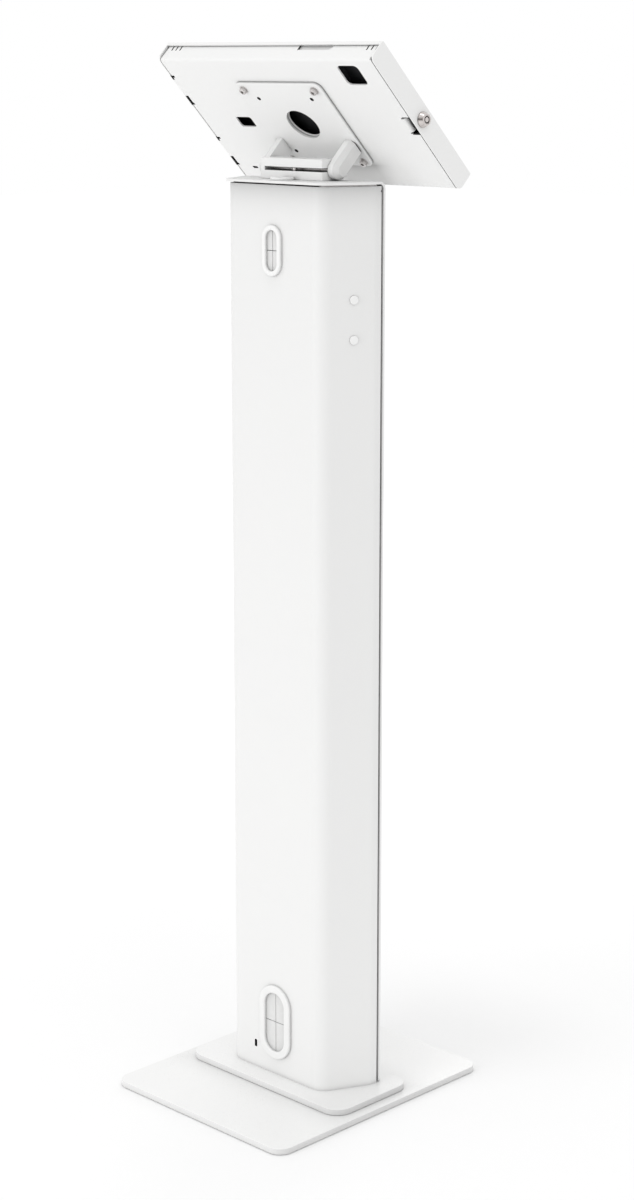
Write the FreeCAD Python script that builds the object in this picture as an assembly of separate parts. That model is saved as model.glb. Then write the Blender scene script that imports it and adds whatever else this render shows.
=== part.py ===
import FreeCAD, Part
import math
import os

# Tablet kiosk floor stand, in millimetres.
# The origin is the middle of the underside of the base, on the floor. +Z is up.
# The screen faces -Y, the user's side. The cable grommets are on the +Y side.
# The head is drawn as a flat panel and then tilted about the axle:
# x is across, u is up the panel, w runs from the mounting plate's rear face towards the user,
# and the panel's zero point is the middle of the 100 mm screw square.

# Base
base_width = 256.0
base_length = 308.0
base_thickness = 6.3
base_corner = 16.0
mat_thickness = 0.8
mat_inset = 4.0
gasket_thickness = 0.5
gasket_inset = 2.5
flange_width = 232.0
flange_length = 114.0
flange_thickness = 6.4
flange_corner = 20.0
flange_centre_y = 1.0
base_screw_shank = 8.0
base_screw_head = 15.0
base_screw_bite = 4.8
base_screw_edge = 22.0

# Column, a folded sheet with angled sides that is open towards the user
column_width = 184.0
column_rear_width = 132.2
column_rear_y = 34.3
knee_y = -18.3
column_front_y = -28.0
column_height = 953.6
column_sheet = 2.0
column_rear_bend = 18.0
column_knee_bend = 8.0
column_lip_bend = 2.5
column_lip_width = 24.0
relief_notch_height = 1.8
relief_notch_below_top = 4.2

# Front cover and lid, one bent sheet
cover_sheet = 2.5
cover_gap = 1.5
cover_bend = 7.0
cover_foot_gap = 1.0
lid_gap = 1.7
lid_overhang = 3.0
lid_corner = 14.0
hook_thickness = 3.0
hook_height = 14.0
hook_drop = 8.0
hook_finger = 2.5
hook_nose_round = 1.0
hook_clearance = 0.3
hook_levels = 3
hook_end_margin = 90.0
hook_inset = 10.0

# Bracket under the lid
bracket_sheet = 4.0
bracket_leg = 36.0
bracket_bend = 6.0
bracket_side_clearance = 1.5

# Cable grommets in the rear face, each a ring with a slit membrane
upper_grommet_width = 26.0
upper_grommet_height = 51.0
upper_grommet_opening = 16.0
upper_grommet_z = 902.5
lower_grommet_width = 46.0
lower_grommet_height = 83.4
lower_grommet_opening = 29.5
lower_grommet_z = 74.7
grommet_proud = 4.0
grommet_edge_round = 1.6
grommet_collar_depth = 4.0
grommet_collar_wall = 1.2
membrane_thickness = 1.5
membrane_seat = 1.5
membrane_recess = 3.5
membrane_slit = 0.6
fit_gap = 0.1
edge_break = 0.4

# Small features of the column
lock_slot_width = 3.7
lock_slot_height = 8.3
lock_slot_x = 31.8
lock_slot_z = 41.0
side_plug_diameter = 9.0
side_plug_proud = 1.8
side_plug_stem = 6.0
side_plug_stem_length = 5.0
side_plug_y = 2.1
side_plug_z = 856.4
side_plug_spacing = 40.0
side_plug_round = 0.9

# Plug in the lid's cable hole
lid_plug_diameter = 24.0
lid_plug_proud = 3.0
lid_plug_round = 1.2
lid_hole_diameter = 20.0
lid_hole_y = 21.4

# Hinge block, split so that a screw clamps it on the axle
block_width = 87.4
block_rear_y = 9.0
block_front_y = -16.0
block_height = 21.2
block_edge = 0.6
slit_height = 2.9
slit_closed_end = 6.0
axle_diameter = 10.0
axle_y = -8.2
axle_above_lid = 10.6
axle_clearance = 0.05
axle_flat = 1.2
clamp_screw_shank = 5.0
clamp_screw_head = 8.5
clamp_screw_head_height = 5.0
clamp_screw_y = 3.0
clamp_screw_bite = 7.0
block_screw_shank = 5.0
block_screw_head = 9.0
block_screw_head_height = 3.0
block_screw_bite = 8.0
block_screw_pitch = 24.0
screw_clearance = 0.3
clamp_screw_sink = 0.5
clamp_screw_socket = 4.0
axle_end_inset = 0.5

# Head: angle from flat, and where the axle lies on the panel
head_tilt = 45.0
axle_below_centre = 28.8
axle_behind_plate = 31.1

# Tilt arms
arm_gap = 0.8
washer_thickness = 0.5
washer_diameter = 18.0
arm_thickness = 6.5
arm_screw_shank = 4.0
arm_screw_head = 8.0
arm_screw_bite = 8.0
arm_screw_half_pitch = 5.0
arm_screw_shift = 1.8
arm_screw_side_margin = 3.0
arm_cover_thickness = 6.0
arm_cover_rim = 1.0
arm_cover_bevel = 3.5
arm_cover_end_bevel = 1.5
arm_peg_diameter = 3.0
arm_peg_length = 3.0
arm_peg_below_screws = 3.0
arm_peg_pitch = 9.0

# Mounting plate with the two standard screw squares
plate_width = 120.0
plate_top = 58.6
plate_bottom = 56.3
plate_thickness = 3.0
plate_corner = 8.0
plate_hole_diameter = 39.0
plate_hole_u = 1.5
tray_hole_margin = 0.8
screw_square = 100.0
small_square = 75.0
small_hole_diameter = 4.5
plate_screw_shank = 4.0
plate_screw_head = 7.6
plate_screw_head_height = 3.2
plate_screw_socket = 3.4
plate_screw_socket_depth = 2.0
plate_screw_round = 0.8
plate_washer_diameter = 9.4
plate_washer_thickness = 0.8
insert_diameter = 9.0
insert_height = 3.5

# Enclosure
case_sheet = 1.5
case_width = 302.2
case_height = 181.0
case_depth = 23.0
case_front_round = 1.4
tray_bend = 3.0
wall_corner = 6.0
tray_top_gap = 0.7
side_seam = 1.1
front_gap = 0.3
flange_end_relief = 1.0
lip_depth = 4.5
aperture_side = 50.6
aperture_rail = 15.0
aperture_corner = 3.0
camera_window_side = 23.5
camera_window_above = 7.8
camera_window_width = 27.0
camera_window_height = 25.5
camera_window_corner = 5.0
side_window_x = 86.45
side_window_width = 22.1
side_window_height = 14.4
side_window_corner = 3.0
small_window_side = 25.0
small_window_below = 19.8
small_window_width = 7.0
small_window_height = 3.0
small_window_corner = 1.2
vent_width = 1.5
vent_bottom = 16.0
vent_pitch = 6.1
vent_left_side = 13.8
vent_right_side = 7.6
vent_count = 3
top_notch_left = -42.0
top_notch_right = -88.0
top_notch_bottom = 16.5
top_notch_slope = 3.0
top_notch_corner = 1.0
tongue_margin = 2.0
tongue_gap = 0.3
tongue_sheet = 1.2

# Hooks on the tray's left edge, on which the front bezel hangs and turns
hook_notch_length = 42.0
hook_notch_centre = 44.8
hook_notch_depth = 2.2
hook_tab_length = 23.0
hook_tab_start = 6.0
hook_tab_clearance = 0.4
hook_relief_depth = 2.2
hook_corner_depth = 3.4
hook_corner_length = 3.0

# Strike tab beside the lock
strike_notch_side = 11.1
strike_notch_half = 11.0
strike_tab_half = 9.0
strike_tab_side = 6.5
strike_tab_bend = 4.5
strike_tab_height = 9.0
catch_start_u = 2.2
catch_width = 5.0
catch_reach = 3.2
catch_bend = 1.0

# Lock in the enclosure's right wall
lock_u = -1.9
lock_w = 13.7
lock_collar_diameter = 15.3
lock_face_diameter = 11.4
lock_proud = 5.5
lock_rim = 1.2
lock_edge_round = 0.6
lock_body_diameter = 12.0
lock_body_inside = 4.9
lock_bore_diameter = 8.6
lock_running_gap = 0.05
lock_key_outer = 7.2
lock_key_inner = 5.0
lock_key_depth = 3.0
lock_key_notch = 1.6
lock_key_turn = -78.0
lock_nut_flats = 15.0
lock_nut_thickness = 2.7
cam_gap = 0.1
cam_thickness = 1.2
cam_reach = 8.2
cam_half_width = 4.5
cam_tip_radius = 2.0
cam_taper = 1.0
cam_root_radius = 3.8
cam_spigot_diameter = 6.0
cam_screw_head = 5.2
cam_screw_head_height = 0.9
cam_screw_shank = 3.0
cam_screw_length = 5.0
catch_clearance = 0.8

# Tablet and what holds it
tablet_side_room = 28.5
tablet_end_room = 2.05
tablet_body = 6.8
tablet_corner = 13.0
tablet_edge_round = 2.6
glass_thickness = 0.7
glass_inset = 0.8
foam_ring_thickness = 1.0
foam_ring_width = 7.0
foam_ring_margin = 1.5
foam_gap = 0.1
pad_width = 30.0
pad_height = 24.0
pad_clearance = 5.5
pad_end = 10.75
side_bracket_sheet = 1.2
side_bracket_bend = 1.8
side_bracket_foot = 14.0
side_bracket_length = 90.0
side_bracket_height = 14.0
side_bracket_gap = 0.3

# Heights and places worked out from the sizes above
base_bottom = mat_thickness
base_top = base_bottom + base_thickness
flange_bottom = base_top + gasket_thickness
flange_top = flange_bottom + flange_thickness
column_top = flange_top + column_height
lid_bottom = column_top + lid_gap
lid_top = lid_bottom + cover_sheet
cover_front_y = column_front_y - cover_gap - cover_sheet
cover_inner_y = cover_front_y + cover_sheet
lid_rear_y = column_rear_y + lid_overhang
axle_z = lid_top + axle_above_lid
tray_w = plate_thickness
case_front_w = tray_w + case_depth
bezel_inner_w = case_front_w - case_sheet
lip_w = case_front_w - lip_depth
wall_outer_x = case_width / 2
wall_inner_x = wall_outer_x - case_sheet
tray_half_width = wall_inner_x - side_seam
tray_height = case_height - 2 * case_sheet - 2 * tray_top_gap
aperture_width = case_width - 2 * aperture_side
aperture_height = case_height - 2 * aperture_rail
camera_window_x = camera_window_side + camera_window_width / 2 - tray_half_width
camera_window_u = tray_height / 2 - camera_window_above - camera_window_height / 2
small_window_x = tray_half_width - small_window_side
small_window_u = small_window_below - tray_height / 2
vent_left_x = tray_half_width - vent_left_side
vent_right_x = vent_right_side - tray_half_width
strike_notch_x = tray_half_width - strike_notch_side
strike_tab_x = tray_half_width - strike_tab_side
tablet_width = case_width - 2 * (case_sheet + side_seam + tablet_side_room)
tablet_height = tray_height - 2 * (case_sheet + tablet_end_room)
tray_inner_w = tray_w + case_sheet
tray_flange_w = bezel_inner_w - front_gap
glass_front_w = bezel_inner_w - foam_ring_thickness - foam_gap
glass_back_w = glass_front_w - glass_thickness
tablet_back_w = glass_back_w - tablet_body
arm_half_width = arm_screw_half_pitch + arm_screw_shift + arm_screw_side_margin
arm_inner_x = block_width / 2 + arm_gap
arm_outer_x = arm_inner_x + arm_thickness
lock_body_end_x = wall_inner_x - lock_body_inside
cam_outer_x = lock_body_end_x - cam_gap
cam_inner_x = cam_outer_x - cam_thickness


def vec(x, y, z):
    return FreeCAD.Vector(x, y, z)


def outline(corners):
    """Closed flat outline through (x, y, radius) corners, each rounded by a tangent arc."""
    points = [vec(x, y, 0) for x, y, radius in corners]
    edges = []
    first = None
    last = None
    for i, corner in enumerate(corners):
        here = points[i]
        back = (points[i - 1] - here).normalize()
        ahead = (points[(i + 1) % len(points)] - here).normalize()
        radius = corner[2]
        if radius > 0:
            half = back.getAngle(ahead) / 2
            reach = radius / math.tan(half)
            start = here + back * reach
            end = here + ahead * reach
            middle = here + (back + ahead).normalize() * (radius / math.sin(half) - radius)
        else:
            start = here
            end = here
        if last is not None and (start - last).Length > 1e-6:
            edges.append(Part.LineSegment(last, start).toShape())
        if radius > 0:
            edges.append(Part.Arc(start, middle, end).toShape())
        if first is None:
            first = start
        last = end
    if (first - last).Length > 1e-6:
        edges.append(Part.LineSegment(last, first).toShape())
    return Part.Wire(edges)


def shifted(path, distance):
    """The open path (x, y, radius) moved sideways by distance, to the left when it is positive."""
    points = [vec(x, y, 0) for x, y, radius in path]
    runs = [(b - a).normalize() for a, b in zip(points, points[1:])]
    sides = [vec(-run.y, run.x, 0) for run in runs]
    moved = [(points[0] + sides[0] * distance, 0)]
    for i in range(1, len(points) - 1):
        mitre = sides[i - 1] + sides[i]
        turns_left = runs[i - 1].cross(runs[i]).z > 0
        radius = path[i][2] - distance if turns_left else path[i][2] + distance
        moved.append((points[i] + mitre * (2 * distance / mitre.dot(mitre)), max(radius, 0)))
    moved.append((points[-1] + sides[-1] * distance, 0))
    return [(point.x, point.y, radius) for point, radius in moved]


def sheet(path, thickness):
    """Outline of a bent sheet: the path is one face, and the other lies thickness to its left."""
    return outline(path + shifted(path, thickness)[::-1])


def along_z(wire, z0, z1):
    solid = Part.Face(wire).extrude(vec(0, 0, z1 - z0))
    return solid.translated(vec(0, 0, z0))


def along_x(wire, x0, x1):
    """Solid from an outline drawn in (y, z), reaching from x0 to x1."""
    solid = Part.Face(wire).extrude(vec(0, 0, x1 - x0))
    solid.Placement = FreeCAD.Placement(vec(x0, 0, 0), FreeCAD.Rotation(vec(1, 1, 1), 120))
    return solid


def along_y(wire, y0, y1):
    """Solid from an outline drawn in (x, z), reaching from y0 to y1."""
    solid = Part.Face(wire).extrude(vec(0, 0, y1 - y0))
    solid.Placement = FreeCAD.Placement(vec(0, y1, 0), FreeCAD.Rotation(vec(1, 0, 0), 90))
    return solid


def block(x0, x1, y0, y1, z0, z1):
    return Part.makeBox(x1 - x0, y1 - y0, z1 - z0, vec(x0, y0, z0))


def rod(radius, start, end):
    return Part.makeCylinder(radius, (end - start).Length, start, end - start)


def rectangle(width, height, corner, x=0, y=0):
    left = x - width / 2
    right = x + width / 2
    low = y - height / 2
    high = y + height / 2
    return outline([(left, low, corner), (right, low, corner), (right, high, corner), (left, high, corner)])


def stadium(width, height, x=0, y=0):
    return rectangle(width, height, width / 2, x, y)


def hexagon(flats, x=0, y=0):
    radius = flats / math.sqrt(3)
    turns = [math.radians(60 * i) for i in range(6)]
    return outline([(x + radius * math.cos(turn), y + radius * math.sin(turn), 0) for turn in turns])


def lathe(corners):
    """Solid turned about the X axis from (x, radius, rounding) corners."""
    return Part.Face(outline(corners)).revolve(vec(0, 0, 0), vec(1, 0, 0), 360)


def countersunk(point, direction, head, shank, length, gap=0):
    """Countersunk screw, or with a gap its hole, whose head is flush at the point."""
    depth = (head - shank) / 2
    cone = Part.makeCone(head / 2 + gap, shank / 2 + gap, depth, point, direction)
    return cone.fuse(rod(shank / 2 + gap, point, point + direction * (length + gap)))


def fuse(shapes):
    return shapes[0].multiFuse(shapes[1:]).removeSplitter()


def cut(shape, tools):
    return shape.cut(Part.makeCompound(tools))


def mirrored(shape):
    return shape.mirror(vec(0, 0, 0), vec(1, 0, 0))


def both_sides(shape):
    return [shape, mirrored(shape)]


def edges_at(shape, axis, value):
    """Edges that lie wholly in the plane where the coordinate x, y or z is the value."""
    def lies_there(edge):
        box = edge.BoundBox
        low = getattr(box, axis + "Min")
        high = getattr(box, axis + "Max")
        return abs(low - value) < 1e-4 and abs(high - value) < 1e-4
    return [edge for edge in shape.Edges if lies_there(edge)]


def on_panel(shape):
    """Moves a shape from the head's flat panel to where the tilted head holds it."""
    flat = FreeCAD.Placement(vec(0, axle_below_centre, axle_behind_plate), FreeCAD.Rotation())
    tilted = FreeCAD.Placement(vec(0, axle_y, axle_z), FreeCAD.Rotation(vec(1, 0, 0), head_tilt))
    placed = shape.copy()
    placed.Placement = tilted.multiply(flat).multiply(placed.Placement)
    return placed


# Column side: a straight line in plan from the rear corner to the knee
side_start = vec(column_rear_width / 2, column_rear_y, 0)
side_run = (vec(column_width / 2, knee_y, 0) - side_start).normalize()
side_out = vec(-side_run.y, side_run.x, 0)


def side_x(y, offset=0):
    start = side_start + side_out * offset
    return start.x + side_run.x * (y - start.y) / side_run.y


def side_y(x, offset=0):
    start = side_start + side_out * offset
    return start.y + side_run.y * (x - start.x) / side_run.x


# Base

def base_screw_points():
    across = flange_width / 2 - base_screw_edge
    along = flange_length / 2 - base_screw_edge
    places = [(x, y) for x in (-across, 0, across) for y in (-along, along)]
    return [vec(x, flange_centre_y + y, base_bottom) for x, y in places]


def make_base_mat():
    wire = rectangle(base_width - 2 * mat_inset, base_length - 2 * mat_inset, base_corner - mat_inset)
    return along_z(wire, 0, mat_thickness)


def make_base_plate():
    plate = along_z(rectangle(base_width, base_length, base_corner), base_bottom, base_top)
    plate = plate.makeChamfer(edge_break, edges_at(plate, "Z", base_top))
    up = vec(0, 0, 1)
    holes = [countersunk(p, up, base_screw_head, base_screw_shank, base_thickness + 1, fit_gap)
             for p in base_screw_points()]
    return cut(plate, holes)


def make_base_gasket():
    width = flange_width - 2 * gasket_inset
    length = flange_length - 2 * gasket_inset
    wire = rectangle(width, length, flange_corner - gasket_inset, 0, flange_centre_y)
    holes = [rod(base_screw_shank / 2 + fit_gap, p, p + vec(0, 0, flange_top)) for p in base_screw_points()]
    return cut(along_z(wire, base_top, flange_bottom), holes)


def make_flange_plate():
    wire = rectangle(flange_width, flange_length, flange_corner, 0, flange_centre_y)
    plate = along_z(wire, flange_bottom, flange_top)
    plate = plate.makeChamfer(edge_break, edges_at(plate, "Z", flange_top))
    reach = flange_bottom - base_bottom + base_screw_bite + fit_gap
    holes = [rod(base_screw_shank / 2 + fit_gap, p, p + vec(0, 0, reach)) for p in base_screw_points()]
    return cut(plate, holes)


def make_base_screws():
    length = flange_bottom - base_bottom + base_screw_bite
    up = vec(0, 0, 1)
    return Part.makeCompound([countersunk(p, up, base_screw_head, base_screw_shank, length)
                              for p in base_screw_points()])


# Column

def hook_heights():
    run = column_height - 2 * hook_end_margin
    return [flange_top + hook_end_margin + run * i / (hook_levels - 1) for i in range(hook_levels)]


def hook_slot(z):
    half = hook_thickness / 2 + hook_clearance
    x = column_width / 2 - hook_inset
    y = column_front_y
    low = z - hook_clearance
    high = z + hook_height + hook_drop + hook_clearance
    return block(x - half, x + half, y - 1, y + column_sheet + 1, low, high)


def side_plug_points():
    x = -side_x(side_plug_y)
    return [vec(x, side_plug_y, side_plug_z - side_plug_spacing * i) for i in range(2)]


def collar_size(width, height, opening, extra=0):
    """Outer size of a grommet's collar; the opening's wall is even all round."""
    grow = 2 * (membrane_seat + grommet_collar_wall + extra)
    return opening + grow, height - (width - opening) + grow


def grommet_hole(width, height, opening, z):
    wide, high = collar_size(width, height, opening, fit_gap)
    return along_y(stadium(wide, high, 0, z), column_rear_y - column_sheet - 1, column_rear_y + 1)


def make_column_body():
    half = column_width / 2
    rear = column_rear_width / 2
    path = [(half - column_lip_width, column_front_y, 0), (half, column_front_y, column_lip_bend),
            (half, knee_y, column_knee_bend), (rear, column_rear_y, column_rear_bend)]
    path += [(-x, y, radius) for x, y, radius in path[::-1]]
    body = along_z(sheet(path, column_sheet), flange_top, column_top)
    notch_top = column_top - relief_notch_below_top
    notch = block(half - column_lip_bend, half + 1, column_front_y - 1, column_front_y + column_lip_bend,
                  notch_top - relief_notch_height, notch_top)
    tools = both_sides(notch)
    for z in hook_heights():
        tools += both_sides(hook_slot(z))
    tools.append(grommet_hole(upper_grommet_width, upper_grommet_height, upper_grommet_opening,
                              upper_grommet_z))
    tools.append(grommet_hole(lower_grommet_width, lower_grommet_height, lower_grommet_opening,
                              lower_grommet_z))
    slot = rectangle(lock_slot_width, lock_slot_height, lock_slot_width / 4, lock_slot_x, lock_slot_z)
    tools.append(along_y(slot, column_rear_y - column_sheet - 1, column_rear_y + 1))
    out = vec(-side_out.x, side_out.y, 0)
    stem = side_plug_stem / 2 + fit_gap
    tools += [rod(stem, p - out * 2 * column_sheet, p + out) for p in side_plug_points()]
    return cut(body, tools)


def block_screw_points():
    return [vec(block_screw_pitch * (i - 1.5), clamp_screw_y, lid_bottom - bracket_sheet) for i in range(4)]


def block_screw_holes(clearance):
    up = vec(0, 0, 1)
    return [rod(block_screw_shank / 2 + clearance, p - up, p + up * (lid_top + 1 - p.z))
            for p in block_screw_points()]


def make_front_cover():
    path = [(cover_front_y, flange_top + cover_foot_gap, 0), (cover_front_y, lid_top, cover_bend),
            (lid_rear_y, lid_top, 0)]
    half = column_width / 2
    bent = along_x(sheet(path, -cover_sheet), -half, half)
    side = [(half, cover_front_y - 1, 0), (half, side_y(half, lid_overhang), column_knee_bend),
            (side_x(lid_rear_y, lid_overhang), lid_rear_y, lid_corner)]
    plan = along_z(outline(side + [(-x, y, radius) for x, y, radius in side[::-1]]), 0, lid_top + 1)
    cable_hole = rod(lid_hole_diameter / 2, vec(0, lid_hole_y, lid_bottom - 1),
                     vec(0, lid_hole_y, lid_top + 1))
    return cut(bent.common(plan), [cable_hole] + block_screw_holes(screw_clearance))


def make_cover_hooks():
    near = cover_inner_y
    behind = column_front_y + column_sheet + hook_clearance
    far = behind + hook_finger
    x = column_width / 2 - hook_inset
    hooks = []
    for z in hook_heights():
        profile = outline([(near, z, 0), (behind, z, 0), (behind, z - hook_drop, 0),
                           (far, z - hook_drop, hook_nose_round), (far, z + hook_height, 2 * hook_nose_round),
                         (near, z + hook_height, 0)])
        hooks += both_sides(along_x(profile, x - hook_thickness / 2, x + hook_thickness / 2))
    return Part.makeCompound(hooks)


def make_lid_bracket():
    rear = column_rear_y - column_sheet
    front = column_front_y + column_sheet
    low = lid_bottom - bracket_leg
    path = [(rear, low, 0), (rear, lid_bottom, bracket_bend), (front, lid_bottom, bracket_bend),
            (front, low, 0)]
    half = column_width / 2
    inset = -column_sheet - bracket_side_clearance
    bent = along_x(sheet(path, bracket_sheet), -half, half)
    side = [(half + inset, front, 0), (half + inset, side_y(half + inset, inset), column_knee_bend),
            (side_x(rear, inset), rear, column_rear_bend)]
    plan = along_z(outline(side + [(-x, y, radius) for x, y, radius in side[::-1]]), low - 1, lid_bottom + 1)
    cable_hole = rod(lid_hole_diameter / 2, vec(0, lid_hole_y, low), vec(0, lid_hole_y, lid_top))
    return cut(bent.common(plan), [cable_hole] + block_screw_holes(screw_clearance))


def make_grommet_ring(width, height, opening, z):
    front = column_rear_y + grommet_proud
    back = column_rear_y - grommet_collar_depth
    seat = front - membrane_recess
    inner_height = height - (width - opening)
    hole = along_y(stadium(opening, inner_height, 0, z), back - 1, front + 1)
    flange = along_y(stadium(width, height, 0, z), column_rear_y, front).cut(hole)
    flange = flange.makeFillet(grommet_edge_round, edges_at(flange, "Y", front))
    wide, high = collar_size(width, height, opening)
    collar = along_y(stadium(wide, high, 0, z), back, column_rear_y).cut(hole)
    grow = 2 * membrane_seat
    pocket = along_y(stadium(opening + grow, inner_height + grow, 0, z), back - 1, seat)
    return fuse([flange, collar]).cut(pocket)


def make_membrane(width, height, opening, z):
    """Four rubber flaps that meet at a cross of slits."""
    face = column_rear_y + grommet_proud - membrane_recess
    grow = 2 * (membrane_seat - fit_gap)
    inner_height = height - (width - opening)
    skin = along_y(stadium(opening + grow, inner_height + grow, 0, z), face - membrane_thickness, face)
    half = membrane_slit / 2
    upright = block(-half, half, face - membrane_thickness - 1, face + 1, z - height, z + height)
    level = block(-width, width, face - membrane_thickness - 1, face + 1, z - half, z + half)
    return Part.makeCompound(cut(skin, [upright, level]).Solids)


def make_side_plugs():
    out = vec(-side_out.x, side_out.y, 0)
    radius = side_plug_diameter / 2
    plugs = []
    for p in side_plug_points():
        cap = lathe([(0, 0, 0), (side_plug_proud, 0, 0), (side_plug_proud, radius, side_plug_round),
                     (0, radius, 0)])
        cap.Placement = FreeCAD.Placement(p, FreeCAD.Rotation(vec(1, 0, 0), out))
        plugs.append(fuse([cap, rod(side_plug_stem / 2, p - out * side_plug_stem_length, p)]))
    return Part.makeCompound(plugs)


def make_lid_plug():
    foot = vec(0, lid_hole_y, lid_top)
    cap = Part.makeCylinder(lid_plug_diameter / 2, lid_plug_proud, foot)
    cap = cap.makeFillet(lid_plug_round, edges_at(cap, "Z", lid_top + lid_plug_proud))
    stem = rod(lid_hole_diameter / 2 - fit_gap, foot - vec(0, 0, cover_sheet + bracket_sheet), foot)
    return fuse([cap, stem])


# Hinge on the lid

def make_hinge_block():
    half = block_width / 2
    top = lid_top + block_height
    body = block(-half, half, block_front_y, block_rear_y, lid_top, top)
    body = body.makeChamfer(block_edge, body.Edges)
    bore = rod(axle_diameter / 2 + axle_clearance, vec(-half - 1, axle_y, axle_z),
               vec(half + 1, axle_y, axle_z))
    slit = block(-half - 1, half - slit_closed_end, axle_y, block_rear_y + 1,
                 axle_z - slit_height / 2, axle_z + slit_height / 2)
    head_floor = top - clamp_screw_head_height - clamp_screw_sink
    centre = vec(0, clamp_screw_y, 0)
    floor = centre + vec(0, 0, head_floor)
    recess = rod(clamp_screw_head / 2 + screw_clearance, floor, centre + vec(0, 0, top + 1))
    thread_end = centre + vec(0, 0, axle_z - slit_height / 2 - clamp_screw_bite)
    thread = rod(clamp_screw_shank / 2 + fit_gap, thread_end, floor + vec(0, 0, 1))
    up = vec(0, 0, 1)
    sockets = [rod(block_screw_shank / 2 + fit_gap, vec(p.x, p.y, lid_top - 1), vec(p.x, p.y, lid_top)
                   + up * (block_screw_bite + fit_gap)) for p in block_screw_points()]
    return cut(body, [bore, slit, recess, thread] + sockets)


def make_clamp_screw():
    head_top = lid_top + block_height - clamp_screw_sink
    head_floor = head_top - clamp_screw_head_height
    centre = vec(0, clamp_screw_y, 0)
    head = rod(clamp_screw_head / 2, centre + vec(0, 0, head_floor), centre + vec(0, 0, head_top))
    socket = along_z(hexagon(clamp_screw_socket, 0, clamp_screw_y), head_top - clamp_screw_head_height / 2,
                     head_top + 1)
    end = axle_z - slit_height / 2 - clamp_screw_bite + fit_gap
    shank = rod(clamp_screw_shank / 2, centre + vec(0, 0, end), centre + vec(0, 0, head_floor))
    return fuse([head, shank]).cut(socket)


def make_block_screws():
    up = vec(0, 0, 1)
    screws = []
    for p in block_screw_points():
        head = rod(block_screw_head / 2, p - up * block_screw_head_height, p)
        shank = rod(block_screw_shank / 2, p, p + up * (lid_top + block_screw_bite - p.z))
        screws.append(fuse([head, shank]))
    return Part.makeCompound(screws)


def axle_form(gap):
    """The axle with its flatted ends in the panel's frame, grown all round by the gap."""
    end = arm_outer_x - axle_end_inset + gap
    radius = axle_diameter / 2 + gap
    centre = vec(0, -axle_below_centre, -axle_behind_plate)
    bar = rod(radius, centre - vec(end, 0, 0), centre + vec(end, 0, 0))
    flat = centre.z - axle_diameter / 2 + axle_flat - gap
    low = block(arm_inner_x, end + 1, centre.y - 2 * radius, centre.y + 2 * radius, flat - 2 * radius, flat)
    return cut(bar, both_sides(low))


def make_washers():
    centre = vec(0, -axle_below_centre, -axle_behind_plate)
    inner = arm_inner_x - washer_thickness
    disc = rod(washer_diameter / 2, centre + vec(inner, 0, 0), centre + vec(arm_inner_x, 0, 0))
    hole = rod(axle_diameter / 2 + fit_gap, centre, centre + vec(arm_outer_x, 0, 0))
    return Part.makeCompound(both_sides(disc.cut(hole)))


def arm_outline(inset=0, end_inset=0):
    left = -axle_below_centre - arm_half_width + inset
    right = -axle_below_centre + arm_half_width - inset
    low = -axle_behind_plate - arm_half_width + inset
    round_end = arm_half_width - inset
    return outline([(left, -end_inset, 0), (left, low, round_end), (right, low, round_end),
                    (right, -end_inset, 0)])


def arm_screw_points():
    x = (arm_inner_x + arm_outer_x) / 2
    middle = -axle_below_centre - arm_screw_shift
    return [vec(x, middle + step, plate_thickness) for step in (-arm_screw_half_pitch, arm_screw_half_pitch)]


def arm_pegs(gap):
    depth = arm_peg_length + gap
    first = -arm_screw_bite - arm_peg_below_screws
    pegs = []
    for w in (first, first - arm_peg_pitch):
        inner = vec(arm_outer_x - depth, -axle_below_centre, w)
        outer = vec(arm_outer_x + arm_cover_rim / 2, -axle_below_centre, w)
        pegs.append(rod(arm_peg_diameter / 2 + gap, inner, outer))
    return pegs


def make_arm():
    arm = along_x(arm_outline(), arm_inner_x, arm_outer_x)
    down = vec(0, 0, -1)
    threads = [rod(arm_screw_shank / 2 + fit_gap, p, p + down * (arm_screw_bite + plate_thickness + fit_gap))
               for p in arm_screw_points()]
    return cut(arm, [axle_form(axle_clearance)] + threads + arm_pegs(fit_gap))


def make_arm_cover():
    """Bevelled cap on the outer face of an arm."""
    rim_x = arm_outer_x + arm_cover_rim
    face_x = arm_outer_x + arm_cover_thickness
    rim = along_x(arm_outline(), arm_outer_x, rim_x)
    turn = FreeCAD.Rotation(vec(1, 1, 1), 120)
    wide = arm_outline()
    wide.Placement = FreeCAD.Placement(vec(rim_x, 0, 0), turn)
    small = arm_outline(arm_cover_bevel, arm_cover_end_bevel)
    small.Placement = FreeCAD.Placement(vec(face_x, 0, 0), turn)
    bevel = Part.makeLoft([wide, small], True, True)
    return fuse([rim, bevel] + arm_pegs(0))


def make_arm_screws():
    down = vec(0, 0, -1)
    length = plate_thickness + arm_screw_bite
    screws = [countersunk(p, down, arm_screw_head, arm_screw_shank, length) for p in arm_screw_points()]
    return Part.makeCompound(screws + [mirrored(screw) for screw in screws])


# Mounting plate

def square_points(side):
    half = side / 2
    return [vec(x, u, 0) for x in (-half, half) for u in (-half, half)]


def through(points, radius, start, end):
    return [rod(radius, p + vec(0, 0, start), p + vec(0, 0, end)) for p in points]


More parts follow.
